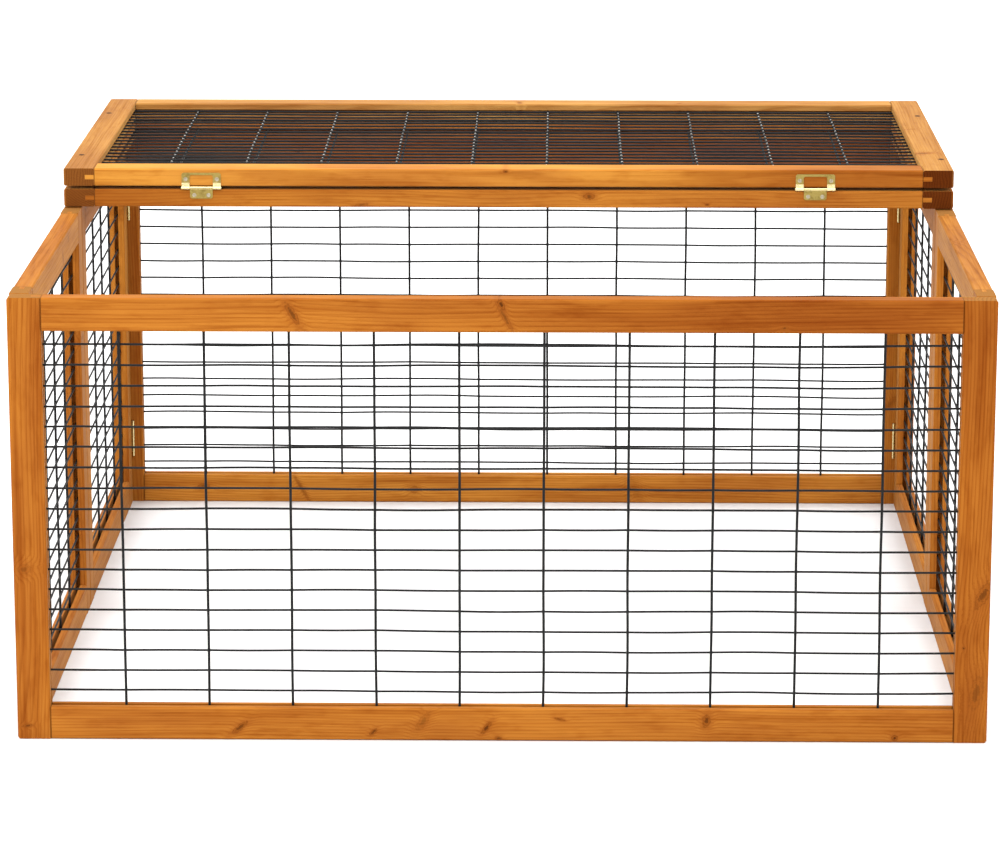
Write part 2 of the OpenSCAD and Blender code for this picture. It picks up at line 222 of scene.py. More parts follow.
# ---------------------------------------------------------------- timber
HONEY = (0.405, 0.147, 0.0205)
RUSSET = (0.295, 0.090, 0.0130)
RING_TINT = (0.70, 0.57, 0.46)
STREAK_TINT = (0.80, 0.68, 0.55)
FIBRE_TINT = (0.74, 0.62, 0.50)
KNOT_RED = (0.250, 0.068, 0.0080)
KNOT_DARK = (0.085, 0.024, 0.0040)
KNOT_RIM = (0.140, 0.036, 0.0050)
SEAM_SHADE = (0.085, 0.026, 0.0050)
END_EARLY = (0.185, 0.060, 0.0110)
END_LATE = (0.105, 0.031, 0.0060)
# How fast red, green and blue follow a board's tone
TONE_POWERS = (1, 1.6, 2)
# Finish: low gloss, and a thin warm sheen on faces seen at a slant
SPECULAR = 0.008
SHEEN = 0.11
SHEEN_ROUGHNESS = 0.35
SHEEN_TINT = (1.0, 0.86, 0.38, 1)
TIMBER_EDGE = 0.7 * MM
TIMBER_EDGE_SEGMENTS = 3
FIRST_SEED = 1000
# A board longer than this has one knot more
LONG_BOARD = 0.8

# Noises of the wood, each scaled along the grain and twice across it
DRIFT = 4
SWAY = ((2.6, 8.0, 8.0), 1.0, 0.5)
UNEVEN = ((1.2, 40.0, 40.0), 1.0, 0.5)
STAIN = ((3.2, 14.0, 14.0), 3.0, 0.6)
STREAK = ((2.8, 95.0, 95.0), 2.0, 0.6)
MOTTLE = ((26.0, 90.0, 90.0), 2.0, 0.6)
FIBRE = ((7.0, 440.0, 440.0), 3.0, 0.65)
STAIN_STEP = (0.30, 0.70)
STREAK_STEP = (0.46, 0.70, 0.0, 0.8)
MOTTLE_STEP = (0.48, 0.74, 0.0, 0.6)
FIBRE_STEP = (0.48, 0.72, 0.0, 0.8)
GLOSS_STEP = (0.30, 0.75, 0.42, 0.58)

# Growth rings.  Their pith lies beside the board: how far off, how many radians round, how steeply
# it leans.  The steps of the late wood run over one ring, from 0 to 1.
PITH_AWAY_MM = (38, 95)
PITH_TURN = 1.0
PITH_LEAN = 0.02
SWAY_REACH = 20 * MM
RING_PITCH = 3.5 * MM
RING_PITCH_SPREAD = (0.75, 1.3)
RING_UNEVENNESS = 2.4
RING_STRENGTH = (0.40, 0.66)
LATE_RISE = (0.40, 0.88)
LATE_FALL = (1.0, 0.90)

# Relief: how high late wood and fibres stand, then the depth and strength of the bump
LATE_RELIEF = 0.4
FIBRE_RELIEF = 0.8
WOOD_BUMP = (0.18 * MM, 0.5)

# Sawn ends, where the normal runs along the grain
SAWN_STEP = (0.55, 0.85)
SAWN_DULLNESS = 0.25
SAWN_RING_STRENGTH = 0.7
SPECK = (700.0, 2.0, 0.7)
SPECK_STEP = (0.35, 0.70, 0.0, 0.5)

# Knots.  The steps run over the distance from the middle, which is 1 on the outline.
RAGGED = (380.0, 3.0, 0.65)
RAGGED_REACH = 1.3
KNOT_BEND = (0.3, 3.6)
KNOT_SWELL = 1.2
KNOT_HALO = (2.6, 0.8)
KNOT_HALO_STRENGTH = 0.7
KNOT_HALO_TONE = 0.85
KNOT_HEART = (0.35, 0.75)
KNOT_EDGE = (0.75, 1.0)
KNOT_OUTLINE = (1.25, 0.88)

# Sunk nail heads, with their half sizes in mm, and the dark stain round them
NAIL_DARK = (0.050, 0.016, 0.0050)
NAIL_HALF_WIDTH = 3.4
NAIL_HALF_LENGTH = 4.6
NAIL_SIDES = 20
NAIL_THICK = 1.2 * MM
NAIL_PROUD = 0.08 * MM
NAIL_RIM = (1.5, 0.9)

# Painted shade in the seams, where the tongues at a rail's ends enter the posts
TONGUE = 12 * MM
SEAM = 1.0 * MM
SEAM_SHADE_STRENGTH = 0.75

# Knots that the photograph shows: (share of the length, share of the height, lean in degrees,
# half length and half width in mm, darkness).  On an edge the height runs through the board.
SEEN_KNOTS = {
    "front_top_rail": [
        (0.278, 0.55, -59, 13.5, 4.0, 0.75),
        (0.503, 0.50, -61, 20.0, 2.8, 0.60),
        (0.500, 0.84, -60, 6.5, 3.0, 1.00),
        (0.800, 0.16, 10, 4.0, 2.2, 0.65),
    ],
    "front_bottom_rail": [
        (0.216, 0.38, 38, 11.0, 3.2, 0.80),
        (0.361, 0.26, 45, 5.5, 2.5, 0.80),
        (0.415, 0.59, 55, 12.0, 4.5, 0.40),
        (0.484, 0.41, 55, 8.5, 2.8, 0.95),
        (0.497, 0.08, 0, 4.0, 2.0, 0.80),
        (0.563, 0.68, -15, 5.5, 1.5, 0.80),
        (0.722, 0.65, 80, 7.0, 4.5, 0.85),
        (0.926, 0.14, 20, 3.6, 3.2, 1.00),
    ],
    "rear_bottom_rail": [
        (0.090, 0.58, 5, 8.0, 3.5, 0.60),
        (0.220, 0.50, -60, 20.0, 2.5, 0.50),
        (0.369, 0.47, 10, 6.0, 5.0, 0.45),
        (0.663, 0.45, -65, 18.0, 6.0, 0.22),
    ],
    "front_left_post": [
        (0.390, 0.33, 80, 8.0, 5.5, 0.42),
        (0.030, 0.30, 85, 6.0, 2.0, 0.75),
    ],
    "front_right_post": [
        (0.340, 0.78, 25, 17.0, 6.0, 0.75),
        (0.218, 0.25, 0, 2.4, 2.0, 1.00),
        (0.115, 0.65, 10, 20.0, 7.0, 0.50),
    ],
}
SEEN_EDGE_KNOTS = {
    "front_lid_meeting_rail": [
        (0.497, 0.88, 0, 3.5, 1.8, 0.85),
    ],
    "rear_lid_meeting_rail": [
        (0.596, 0.66, 0, 7.0, 3.8, 0.75),
        (0.327, 0.14, 5, 8.0, 2.0, 0.60),
        (0.735, 0.20, 0, 2.5, 1.5, 0.75),
    ],
}
# Nails in the side rails of the lid halves: share of the length, distance from the outer edge in mm.
# These rails run past the others, as posts do, so they have no seams.
NAILS = {
    "front_lid_left_rail": [(0.18, 12.4), (0.78, 11.5)],
    "front_lid_right_rail": [(0.15, 9.5), (0.765, 11.0)],
    "rear_lid_left_rail": [(0.19, 11.5), (0.80, 12.0)],
    "rear_lid_right_rail": [(0.17, 11.0), (0.79, 10.5)],
}
# Stain of a board against the others, and of its sawn ends; the entries marked below are painted shade
# and painted light
BOARD_TONES_AND_SHADE = {
    "front_lid_meeting_rail": 1.38,
    "rear_lid_meeting_rail": 1.10,
    "front_top_rail": 0.97,
    "front_bottom_rail": 1.05,
    "front_right_post": 0.85,
    "front_lid_left_rail": 0.99,
    "front_lid_right_rail": 0.99,
    "front_lid_free_rail": 1.20,
    "rear_lid_right_rail": 0.86,
    "rear_bottom_rail": 1.22,
    # painted shade: the rear top rail and the aft top rails are darkened for the shade under the lid
    "rear_top_rail": 0.74,
    "left_aft_top_rail": 0.82,
    "right_aft_top_rail": 0.82,
    "rear_right_post": 1.04,
}
TONE_SPREAD = (0.93, 1.07)
END_TONES_AND_SHADE = {
    "front_lid_left_rail": 1.05,
    "rear_lid_left_rail": 0.92,
    # painted shade: the right-hand rails' sawn ends are darkened for light that comes from the left
    "front_lid_right_rail": 0.52,
    "rear_lid_right_rail": 0.57,
}
# Painted light: the posts' sawn ends, which face up, are lightened for light from above; ends not listed
# above take it too
POST_END_TONE_AND_LIGHT = 1.45
# Boards that grow darker towards one end: the tone at that end, and the shares of the length where the
# change starts and where it is complete
FAR_TONES = {
    "front_top_rail": (0.82, 0.30, 0.80),
    "front_lid_meeting_rail": (0.66, 0.45, 0.92),
    "rear_lid_meeting_rail": (0.78, 0.25, 0.08),
}
# Boards painted yellower and paler all over, as painted sheen and light on their upper faces: what it
# does to red, green and blue
PALER_AS_PAINTED_SHEEN = {
    "front_lid_left_rail": (0.94, 1.18, 1.90),
    "front_lid_right_rail": (0.94, 1.19, 1.90),
    "front_lid_free_rail": (0.93, 1.16, 2.00),
    "left_fore_top_rail": (1.02, 1.07, 0.95),
    "right_fore_top_rail": (1.00, 1.12, 1.30),
}

# An oval mark on a board: its middle, its two axes over its half length and half width, its darkness
Mark = namedtuple("Mark", "place run rise dark")


class Board:
    """A post or rail: its box, and the axes that its grain, its width and its thickness follow."""

    def __init__(self, node):
        self.node = node
        low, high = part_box(node)
        self.centre = (low + high) / 2
        self.sides = high - low
        order = sorted(range(3), key=lambda i: self.sides[i])
        self.thin, self.wide, self.grain = order
        self.length = self.sides[self.grain]

    def spot(self, share, across, height):
        """A place from the board's centre: a share of its length and of another side."""
        place = Vector((0, 0, 0))
        place[self.grain] = (share - 0.5) * self.length
        place[across] = (height - 0.5) * self.sides[across]
        return place

    def mark(self, row, across):
        """The mark that a table's row asks for; across is the axis that its height follows."""
        share, height, lean, half_length, half_width, dark = row
        turn = math.radians(lean)
        run = Vector((0, 0, 0))
        rise = Vector((0, 0, 0))
        run[self.grain] = math.cos(turn)
        run[across] = math.sin(turn)
        rise[self.grain] = -math.sin(turn)
        rise[across] = math.cos(turn)
        place = self.spot(share, across, height)
        return Mark(place, run / (half_length * MM), rise / (half_width * MM), dark)

    def knots(self, rng):
        """The knots that the photograph shows on this board, or else a few of its own."""
        if self.node in SEEN_KNOTS:
            return [self.mark(row, self.wide) for row in SEEN_KNOTS[self.node]]
        if self.node in SEEN_EDGE_KNOTS:
            return [self.mark(row, self.thin) for row in SEEN_EDGE_KNOTS[self.node]]
        count = rng.choice((1, 2, 3)) if self.length > LONG_BOARD else rng.choice((0, 1, 2))
        return [self.mark(stray_knot(rng), self.wide) for _ in range(count)]

    def nails(self):
        """The sunk heads of its nails as rows like the knots'."""
        rows = []
        for share, inset in NAILS.get(self.node, []):
            height = inset * MM / self.sides[self.wide]
            if self.centre[self.wide] > 0:
                height = 1 - height
            rows.append((share, height, 90, NAIL_HALF_WIDTH, NAIL_HALF_LENGTH, 1.0))
        return rows


def stray_knot(rng):
    share = rng.uniform(0.08, 0.92)
    height = rng.uniform(0.2, 0.8)
    lean = rng.uniform(25, 80) * rng.choice((-1, 1))
    length = rng.uniform(4, 14)
    width = rng.uniform(0.25, 0.5) * length
    return share, height, lean, length, width, rng.uniform(0.3, 0.8)


def toned(colour, tone):
    """A stain colour made lighter and yellower, or darker and redder."""
    return (*(part * tone ** power for part, power in zip(colour, TONE_POWERS)), 1)


class Timber(Tree):
    """The stained softwood of one board, with its own rings, knots, streaks and sawn ends."""

    def __init__(self, board, rng):
        super().__init__("timber_" + board.node)
        self.board = board
        self.local = self.vector("SUBTRACT", self.coords.outputs["Object"], tuple(board.centre))
        axes = self.split(self.local)
        self.along = axes[board.grain]
        self.across = axes[board.wide]
        self.through = axes[board.thin]
        drift = [rng.uniform(-DRIFT, DRIFT) for _ in range(3)]
        self.shifted = self.vector("ADD", self.join(self.along, self.across, self.through), drift)
        radius = self.pith_distance(rng)
        ragged = self.math("SUBTRACT", self.noise(self.local, *RAGGED), 0.5)
        self.ragged = self.math("MULTIPLY", ragged, RAGGED_REACH)
        self.knots = [(knot, self.away_from(knot)) for knot in board.knots(rng)]
        self.late = self.late_wood(rng, radius)
        self.fibre = self.grained(FIBRE)

        wood = self.nailed(self.knotted(self.stain_and_painted_light(rng)))
        if board.node.endswith("_rail") and board.node not in NAILS:
            wood = self.shaded_at_seams(wood)
        facing = self.math("ABSOLUTE", self.split(self.coords.outputs["Normal"])[board.grain])
        sawn = self.ease(facing, *SAWN_STEP)
        self.shade(
            Base_Color=self.mix(sawn, wood, self.sawn_end()),
            Roughness=self.math("MULTIPLY_ADD", sawn, SAWN_DULLNESS, self.ease(self.fibre, *GLOSS_STEP)),
            Specular_IOR_Level=SPECULAR,
            Sheen_Weight=SHEEN,
            Sheen_Roughness=SHEEN_ROUGHNESS,
            Sheen_Tint=SHEEN_TINT,
        )
        fibres = self.math("MULTIPLY", self.fibre, FIBRE_RELIEF)
        self.bump(self.math("MULTIPLY_ADD", self.late, LATE_RELIEF, fibres), *WOOD_BUMP)

    def grained(self, pattern, colour=False):
        """A noise that is drawn out along the grain, in this board's own part of it."""
        stretch, detail, roughness = pattern
        return self.noise(self.vector("MULTIPLY", self.shifted, stretch), 1.0, detail, roughness, colour)

    def away_from(self, mark):
        """1 on the outline of an oval mark, less inside it, with a ragged edge."""
        offset = self.vector("SUBTRACT", self.local, tuple(mark.place))
        x = self.vector("DOT_PRODUCT", offset, tuple(mark.run))
        y = self.vector("DOT_PRODUCT", offset, tuple(mark.rise))
        return self.math("ADD", self.vector("LENGTH", self.join(x, y, 0.0)), self.ragged)

    def pith_distance(self, rng):
        """How far a place is from the pith, which leans a little; slow waves along the board sway it."""
        sway = self.split(self.grained(SWAY, colour=True))
        across = self.math("MULTIPLY_ADD", self.math("SUBTRACT", sway[0], 0.5), SWAY_REACH, self.across)
        through = self.math("MULTIPLY_ADD", self.math("SUBTRACT", sway[1], 0.5), SWAY_REACH, self.through)
        lean = rng.uniform(-PITH_LEAN, PITH_LEAN)
        turn = rng.uniform(-PITH_TURN, PITH_TURN) + rng.choice((0, math.pi))
        pith_r = rng.uniform(*PITH_AWAY_MM) * MM
        pith = self.join(
            self.math("MULTIPLY_ADD", self.along, lean, pith_r * math.cos(turn)),
            self.math("MULTIPLY_ADD", self.along, -lean, pith_r * math.sin(turn)),
            0.0,
        )
        return self.vector("LENGTH", self.vector("SUBTRACT", self.join(across, through, 0.0), pith))

    def late_wood(self, rng, radius):
        """1 in the dark late wood of each ring and 0 in its early wood; the rings bend round knots."""
        for knot, away in self.knots:
            swell = self.ease(away, *KNOT_BEND, KNOT_SWELL / knot.rise.length, 0.0)
            radius = self.math("ADD", radius, swell)
        rings = self.math("MULTIPLY", radius, 1 / (RING_PITCH * rng.uniform(*RING_PITCH_SPREAD)))
        ring = self.math("FRACT", self.math("MULTIPLY_ADD", self.grained(UNEVEN), RING_UNEVENNESS, rings))
        return self.math("MULTIPLY", self.ease(ring, *LATE_RISE), self.ease(ring, *LATE_FALL))

    def stain_and_painted_light(self, rng):
        """The board's stain, deeper in late wood, streaks, mottle and fibres, with the painted shade and
        painted sheen that some boards' tones carry.
        """
        node = self.board.node
        tone = BOARD_TONES_AND_SHADE.get(node, rng.uniform(*TONE_SPREAD))
        honeyed = self.ease(self.grained(STAIN), *STAIN_STEP)
        wood = self.mix(honeyed, toned(RUSSET, tone), toned(HONEY, tone))
        if node in FAR_TONES:
            far, start, end = FAR_TONES[node]
            length = self.board.length
            change = self.ease(self.along, (start - 0.5) * length, (end - 0.5) * length)
            wood = self.mix(change, wood, toned((1, 1, 1), far), "MULTIPLY")
        if node in PALER_AS_PAINTED_SHEEN:
            wood = self.tint(1.0, wood, PALER_AS_PAINTED_SHEEN[node])
        wood = self.tint(self.math("MULTIPLY", self.late, rng.uniform(*RING_STRENGTH)), wood, RING_TINT)
        wood = self.tint(self.ease(self.grained(STREAK), *STREAK_STEP), wood, STREAK_TINT)
        wood = self.tint(self.ease(self.grained(MOTTLE), *MOTTLE_STEP), wood, STREAK_TINT)
        return self.tint(self.ease(self.fibre, *FIBRE_STEP), wood, FIBRE_TINT)

    def knotted(self, wood):
        """The wood with its knots, each in a halo of darker stain."""
        for knot, away in self.knots:
            halo = self.ease(away, *KNOT_HALO, 0.0, KNOT_HALO_STRENGTH * knot.dark)
            wood = self.mix(halo, wood, toned(RUSSET, KNOT_HALO_TONE))
            heart = self.mix(self.ease(away, *KNOT_HEART), (*KNOT_DARK, 1), (*KNOT_RED, 1))
            knot_wood = self.mix(self.ease(away, *KNOT_EDGE), heart, (*KNOT_RIM, 1))
            wood = self.mix(self.ease(away, *KNOT_OUTLINE, 0.0, knot.dark), wood, knot_wood)
        return wood

    def nailed(self, wood):
        """The wood with dark stain round its nails, on the upper half alone."""
        for row in self.board.nails():
            rim = self.ease(self.away_from(self.board.mark(row, self.board.wide)), *NAIL_RIM)
            upper = self.ease(self.through, 0.0, MM)
            wood = self.mix(self.math("MULTIPLY", rim, upper), wood, (*KNOT_DARK, 1))
        return wood

    def shaded_at_seams(self, wood):
        """The wood with a line of painted shade at both shoulders."""
        shoulder = self.board.length / 2 - TONGUE
        reach_out = self.math("ABSOLUTE", self.along)
        rise = self.ease(reach_out, shoulder - SEAM, shoulder - SEAM / 2)
        seam_shade = self.math("MULTIPLY", rise, self.ease(reach_out, shoulder + SEAM, shoulder))
        return self.mix(self.math("MULTIPLY", seam_shade, SEAM_SHADE_STRENGTH), wood, (*SEAM_SHADE, 1))

    def sawn_end(self):
        """End grain, which drinks the stain and turns dark, with specks; its tone carries painted light
        and painted shade on some boards.
        """
        tone = END_TONES_AND_SHADE.get(self.board.node, POST_END_TONE_AND_LIGHT)
        early, late = toned(END_EARLY, tone), toned(END_LATE, tone)
        end = self.mix(self.math("MULTIPLY", self.late, SAWN_RING_STRENGTH), early, late)
        speck = self.ease(self.noise(self.local, *SPECK), *SPECK_STEP)
        return self.mix(speck, end, late)


def dress_timber():
    boards = [n for n in sorted(NODES) if n.endswith(("_post", "_rail"))]
    for number, node in enumerate(boards):
        rng = random.Random(FIRST_SEED + number)
        set_material(NODES[node], Timber(Board(node), rng).material)
        soften(NODES[node], TIMBER_EDGE, TIMBER_EDGE_SEGMENTS)


def drive_nails():
    """Dull nail heads, sunk in the upper face of each side rail of the lid halves."""
    t = Tree("sunk_nail")
    t.shade(Base_Color=(*NAIL_DARK, 1), Roughness=0.8, Specular_IOR_Level=0.1)
    for node in NAILS:
        board = Board(node)
        top = board.centre.z + board.sides.z / 2 + NAIL_PROUD
        vertices, faces = [], []
        for share, height, *_ in board.nails():
            place = board.centre + board.spot(share, board.wide, height)
            first = len(vertices)
            for z in (top - NAIL_THICK, top):
                for k in range(NAIL_SIDES):
                    turn = 2 * math.pi * k / NAIL_SIDES
                    x = place.x + NAIL_HALF_WIDTH * MM * math.cos(turn)
                    y = place.y + NAIL_HALF_LENGTH * MM * math.sin(turn)
                    vertices.append(Vector((x, y, z)))
            skin(faces, first, 2, NAIL_SIDES)
        heads = make_piece(node.replace("_rail", "_nails"), vertices, faces, t.material)
        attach(heads, node[:node.index("lid") + 3])


# ---------------------------------------------------------------- welded mesh
UPRIGHT_R = 1.6 * MM
CROSS_R = 1.35 * MM
UPRIGHT_PITCH = 100 * MM
CROSS_PITCH = 25 * MM
WELD_SINK = 0.3 * MM
WIRE_SIDES = 8
CROSS_STEPS = 4
SPAN_BOW = 0.5 * MM

# Waves of a sheet: how many a metre has up and across, and how far apart two sheets are in the noise
WAVES_UP = 9
WAVES_ACROSS = 6
SHEET_STEP_UP = 3.7
SHEET_STEP_DEEP = 1.3
WAVE_IN_PLANE = 1.5 * MM
SIDEWAYS_AT = Vector((31, 17, 5))
SIDEWAYS_SHARE = 0.6
WAVE_OUT = 1.2 * MM
OUT_AT = Vector((7, 53, 2))
OUT_WAVES = 0.6
EDGE_CALM = 45 * MM

# Welds: the height and spread of each ring of vertices, for a radius of 1
BEAD_RINGS = ((-0.75, 0.55), (-0.3, 1.0), (0.3, 1.0), (0.75, 0.55))
BEAD_SIDES = 8
BEAD_R = 1.4 * MM
# Painted glints: the lid's welds are larger and of bright bare steel, standing in for the highlights
# along the lid wires
GLINT_BEAD_R = 1.5 * MM
BEAD_R_SPREAD = (0.9, 1.15)
GLINT_STEEL = (0.52, 0.51, 0.48)

# Black coating
COAT_BLOTCH = (90.0, 3.0, 0.6)
COAT_COLOURS = ((0.3, (0.007, 0.007, 0.007)), (0.75, (0.015, 0.015, 0.015)))
COAT_GLOSS_STEP = (0.3, 0.7, 0.45, 0.60)
COAT_GRAIN = (1500.0, 2.0)
COAT_BUMP = (0.05 * MM, 0.4)


def wire_places(length, pitch):
    """The middles of the wires along a side, with the sheet's centre halfway between two."""
    pairs = int(length / 2 / pitch + 0.5)
    return [(i + 0.5) * pitch for i in range(-pairs, pairs)]


def tube(vertices, faces, path, radius, side, lift):
    """Adds a round wire along a path; side and lift are two directions across it."""
    first = len(vertices)
    turns = [2 * math.pi * k / WIRE_SIDES for k in range(WIRE_SIDES)]
    for point in path:
        for turn in turns:
            x, y = radius * math.cos(turn), radius * math.sin(turn)
            vertices.append(point + side * x + lift * y)
    skin(faces, first, len(path), WIRE_SIDES)


def bead(vertices, faces, centre, flat, size):
    """Adds a weld: a small lump, flattened along one direction."""
    first = len(vertices)
    side = flat.orthogonal().normalized()
    other = flat.cross(side)
    for height, spread in BEAD_RINGS:
        for k in range(BEAD_SIDES):
            turn = 2 * math.pi * k / BEAD_SIDES
            across = side * math.cos(turn) + other * math.sin(turn)
            vertices.append(centre + flat * (height * size) + across * (spread * size))
    skin(faces, first, len(BEAD_RINGS), BEAD_SIDES)


class Sheet:
    """A panel's wires: the box that they fill, where they lie, and how the sheet waves."""

    def __init__(self, node, upright, cross, outward, seed):
        low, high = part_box(node)
        sides = high - low
        self.centre = (low + high) / 2
        self.upright, self.cross, self.outward = upright, cross, outward
        self.seed = seed
        self.tall = abs(sides.dot(upright))
        self.wide = abs(sides.dot(cross))
        self.uprights = wire_places(self.wide, UPRIGHT_PITCH)
        self.crosses = wire_places(self.tall, CROSS_PITCH)

    def wave(self, u, v):
        """How far the sheet is off true; the grooves hold its edges, so they keep to its plane."""
        calm_u = min(1.0, (self.tall / 2 - abs(u)) / EDGE_CALM)
        calm_v = min(1.0, (self.wide / 2 - abs(v)) / EDGE_CALM)
        calm = max(0.0, min(calm_u, calm_v))
        up = u * WAVES_UP + self.seed * SHEET_STEP_UP
        at = Vector((up, v * WAVES_ACROSS, self.seed * SHEET_STEP_DEEP))
        swing = noise.noise(at) * WAVE_IN_PLANE
        drift = noise.noise(at + SIDEWAYS_AT) * WAVE_IN_PLANE * SIDEWAYS_SHARE
        out = noise.noise(at * OUT_WAVES + OUT_AT) * WAVE_OUT * calm
        return self.upright * swing + self.cross * drift + self.outward * out

    def spot(self, u, v):
        """The place at a height u and a distance v across from the sheet's centre."""
        return self.centre + self.upright * u + self.cross * v + self.wave(u, v)

    def upright_path(self, v, layer):
        """Along an upright wire; layer is its way out of the middle of the sheet."""
        return [self.spot(u, v) + layer for u in (-self.tall / 2, *self.crosses, self.tall / 2)]

    def cross_path(self, u, layer, rng):
        """Along a cross wire, which bows a little between the uprights."""
        stops = [-self.wide / 2, *self.uprights, self.wide / 2]
        path = []
        for start, end in zip(stops, stops[1:]):
            bow = rng.uniform(-1, 1) * SPAN_BOW * min(1.0, (end - start) / UPRIGHT_PITCH)
            for k in range(CROSS_STEPS):
                share = k / CROSS_STEPS
                at = self.spot(u, start + (end - start) * share)
                path.append(at + layer + self.upright * (bow * math.sin(math.pi * share)))
        path.append(self.spot(u, self.wide / 2) + layer)
        return path


def welded_sheet(sheet, name, material, glint_material):
    """Round, slightly wavy wires with their welds; on the lid the welds are bright bare steel, as painted
    glints.
    """
    rng = random.Random(sheet.seed)
    thick = 2 * UPRIGHT_R + 2 * CROSS_R - WELD_SINK
    upright_layer = sheet.outward * (thick / 2 - UPRIGHT_R)
    cross_layer = sheet.outward * (CROSS_R - thick / 2)
    weld_layer = sheet.outward * ((thick / 2 - 2 * UPRIGHT_R) + WELD_SINK / 2)

    vertices, faces = [], []
    for v in sheet.uprights:
        path = sheet.upright_path(v, upright_layer)
        tube(vertices, faces, path, UPRIGHT_R, sheet.cross, sheet.outward)
    for u in sheet.crosses:
        path = sheet.cross_path(u, cross_layer, rng)
        tube(vertices, faces, path, CROSS_R, sheet.upright, sheet.outward)
    wire_faces = len(faces)
    bead_r = GLINT_BEAD_R if glint_material else BEAD_R
    for v in sheet.uprights:
        for u in sheet.crosses:
            size = bead_r * rng.uniform(*BEAD_R_SPREAD)
            bead(vertices, faces, sheet.spot(u, v) + weld_layer, sheet.outward, size)
    wires = make_piece(name, vertices, faces, material, smooth=True)
    if glint_material:
        wires.data.materials.append(glint_material)
        for face in wires.data.polygons[wire_faces:]:
            face.material_index = 1
    return wires


def wire_material():
    t = Tree("black_coated_wire")
    where = t.coords.outputs["Object"]
    blotch = t.noise(where, *COAT_BLOTCH)
    t.shade(
        Base_Color=t.ramp(blotch, COAT_COLOURS),
        Roughness=t.ease(blotch, *COAT_GLOSS_STEP),
        Specular_IOR_Level=0.10,
    )
    t.bump(t.noise(where, *COAT_GRAIN), *COAT_BUMP)
    return t.material


# Bright bare steel for the lid's welds: painted glints
def glint_weld_material():
    t = Tree("painted_glint_weld")
    t.shade(Base_Color=(*GLINT_STEEL, 1), Metallic=1.0, Roughness=0.3)
    return t.material


def hang_wires():
    """Wires in the place of each mesh node, listed with its body, two directions and outer side."""
    sheets = (
        ("front_mesh", "front_panel", Z, X, -Y),
        ("rear_mesh", "rear_panel", Z, X, Y),
        ("left_fore_mesh", "left_fore_side", Z, Y, -X),
        ("left_aft_mesh", "left_aft_side", Z, Y, -X),
        ("right_fore_mesh", "right_fore_side", Z, Y, X),
        ("right_aft_mesh", "right_aft_side", Z, Y, X),
        ("rear_lid_mesh", "rear_lid", Y, X, Z),
        ("front_lid_mesh", "front_lid", Y, X, -Z),
    )
    material = wire_material()
    glint_material = glint_weld_material()
    for seed, (node, body, upright, cross, outward) in enumerate(sheets, 1):
        sheet = Sheet(node, upright, cross, outward, seed)
        name = node.replace("_mesh", "_welded_wires")
        wires = welded_sheet(sheet, name, material, glint_material if "lid" in node else None)
        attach(wires, body)
        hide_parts(node)


# ---------------------------------------------------------------- ironwork
LEAF = (0.40, 0.31, 0.09)
LEAF_DULL = (0.26, 0.19, 0.05)
# Pale colour of the painted highlight on round and bent brass
PAINTED_HIGHLIGHT = (0.88, 0.76, 0.40)
PIN = (0.60, 0.50, 0.24)
PIN_DULL = (0.42, 0.33, 0.13)
BRASS_CLOUD = (160.0, 4.0, 0.65)
BRASS_DULL_STEP = (0.42, 0.72)
BRASS_GLOSS_STEP = (0.3, 0.75, 0.34, 0.46)
BRASS_GRAIN = (1400.0, 2.0)
BRASS_BUMP = (0.04 * MM, 0.4)
# Painted highlight on round parts: the step runs over the largest part of the normal, which is 1 on a
# face that is square to an axis
ROUND_HIGHLIGHT_STEP = (0.995, 0.93)
ROUND_ROUGHNESS = -0.12
# Half height of the bent part of a leaf that gets the painted highlight, and the blur of its edge
BEND = 6.5 * MM
BEND_EDGE = 0.6 * MM
LEAF_EDGE = 0.18 * MM
PIN_EDGE = 0.2 * MM
HINGE_EDGE_SEGMENTS = 2
SCREW_CLOUD = (600.0, 2.0)
SCREW_COLOURS = ((0.3, (0.36, 0.31, 0.20)), (0.7, (0.56, 0.52, 0.40)))


def brass_material(name, base, dull, pin_z=None):
    """Plated steel: dull on the flat leaves, with a pale painted highlight where it is round and where it
    bends to the pin.
    """
    t = Tree(name)
    where = t.coords.outputs["Object"]
    cloud = t.noise(where, *BRASS_CLOUD)
    flat = None
    for axis in t.split(t.coords.outputs["Normal"]):
        size = t.math("ABSOLUTE", axis)
        flat = size if flat is None else t.math("MAXIMUM", flat, size)
    round_highlight = t.ease(flat, *ROUND_HIGHLIGHT_STEP)
    if pin_z is not None:
        above = t.math("SUBTRACT", t.split(where)[2], pin_z)
        bend_highlight = t.ease(t.math("ABSOLUTE", above), BEND + BEND_EDGE, BEND)
        round_highlight = t.math("MAXIMUM", round_highlight, bend_highlight)
    plate = t.mix(t.ease(cloud, *BRASS_DULL_STEP), (*base, 1), (*dull, 1))
    t.shade(
        Base_Color=t.mix(round_highlight, plate, (*PAINTED_HIGHLIGHT, 1)),
        Roughness=t.math("MULTIPLY_ADD", round_highlight, ROUND_ROUGHNESS, t.ease(cloud, *BRASS_GLOSS_STEP)),
        Metallic=1.0,
    )
    t.bump(t.noise(where, *BRASS_GRAIN), *BRASS_BUMP)
    return t.material


def screw_material():
    t = Tree("pale_screw")
    cloud = t.noise(t.coords.outputs["Object"], *SCREW_CLOUD)
    t.shade(Base_Color=t.ramp(cloud, SCREW_COLOURS), Metallic=1.0, Roughness=0.30)
    return t.material


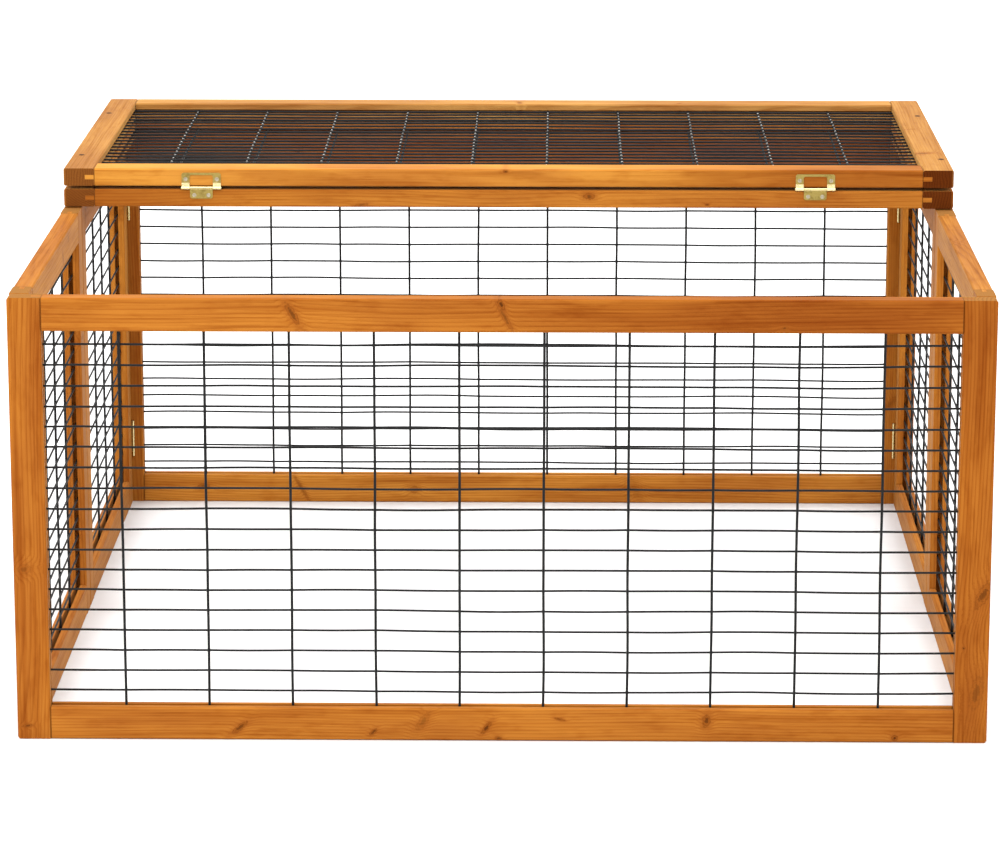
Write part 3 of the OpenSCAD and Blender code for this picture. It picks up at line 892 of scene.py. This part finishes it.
def dress_hinges():
    pin_low, pin_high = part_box("front_lid_hinge_pins")
    leaf = brass_material("brass_leaf", LEAF, LEAF_DULL)
    bent_leaf = brass_material("brass_bent_leaf", LEAF, LEAF_DULL, (pin_low.z + pin_high.z) / 2)
    pin = brass_material("brass_pin", PIN, PIN_DULL)
    screw = screw_material()
    for node, obj in NODES.items():
        if node.endswith("_leaves"):
            set_material(obj, bent_leaf if node == "front_lid_hinge_leaves" else leaf)
            soften(obj, LEAF_EDGE, HINGE_EDGE_SEGMENTS)
        elif node.endswith("_pins"):
            set_material(obj, pin)
            soften(obj, PIN_EDGE, HINGE_EDGE_SEGMENTS)
        elif node.endswith("_screws"):
            set_material(obj, screw)


# ---------------------------------------------------------------- studio
HORIZON_STRENGTH = 0.75
OVERHEAD_STRENGTH = 3.4
KEY_AT = Vector((-2.4, -2.6, 2.0))
KEY_AIM = Vector((0, 0, 0.3))
KEY_SIZE = 1.6
KEY_WATTS = 28
FLOOR_REACH = 30
FLOOR_Z = -0.0004
FLOOR_MOTTLE = (1.4, 3.0)
FLOOR_COLOURS = ((0.3, (0.70, 0.70, 0.70)), (0.7, (0.72, 0.72, 0.72)))


def light_sky():
    """A white sky that grows stronger from the horizon to overhead."""
    world = bpy.data.worlds.new("studio")
    bpy.context.scene.world = world
    world.use_nodes = True
    tree = world.node_tree
    background = tree.nodes["Background"]
    background.inputs["Color"].default_value = (1, 1, 1, 1)
    direction = tree.nodes.new("ShaderNodeTexCoord")
    rise = tree.nodes.new("ShaderNodeSeparateXYZ")
    tree.links.new(direction.outputs["Generated"], rise.inputs[0])
    strength = tree.nodes.new("ShaderNodeMapRange")
    strength.inputs["To Min"].default_value = HORIZON_STRENGTH
    strength.inputs["To Max"].default_value = OVERHEAD_STRENGTH
    tree.links.new(rise.outputs["Z"], strength.inputs["Value"])
    tree.links.new(strength.outputs[0], background.inputs["Strength"])


def lay_floor():
    t = Tree("pale_floor")
    mottle = t.noise(t.coords.outputs["Object"], *FLOOR_MOTTLE)
    t.shade(Base_Color=t.ramp(mottle, FLOOR_COLOURS), Roughness=0.8, Specular_IOR_Level=0.1)
    r = FLOOR_REACH
    corners = [(-r, -r, 0), (r, -r, 0), (r, r, 0), (-r, r, 0)]
    floor = make_piece("floor", corners, [(0, 1, 2, 3)], t.material)
    floor.location.z = FLOOR_Z


def hang_key_light():
    data = bpy.data.lights.new("key", "AREA")
    data.shape = "DISK"
    data.size = KEY_SIZE
    data.energy = KEY_WATTS
    light = bpy.data.objects.new("key", data)
    light.location = KEY_AT
    light.rotation_euler = (KEY_AIM - KEY_AT).to_track_quat("-Z", "Y").to_euler()
    light.visible_camera = False
    bpy.context.scene.collection.objects.link(light)


def grade():
    view = bpy.context.scene.view_settings
    view.view_transform = "Standard"
    view.look = "None"
    view.exposure = 0.0
    view.gamma = 1.0


make_camera()
dress_timber()
drive_nails()
hang_wires()
dress_hinges()
light_sky()
lay_floor()
hang_key_light()
grade()
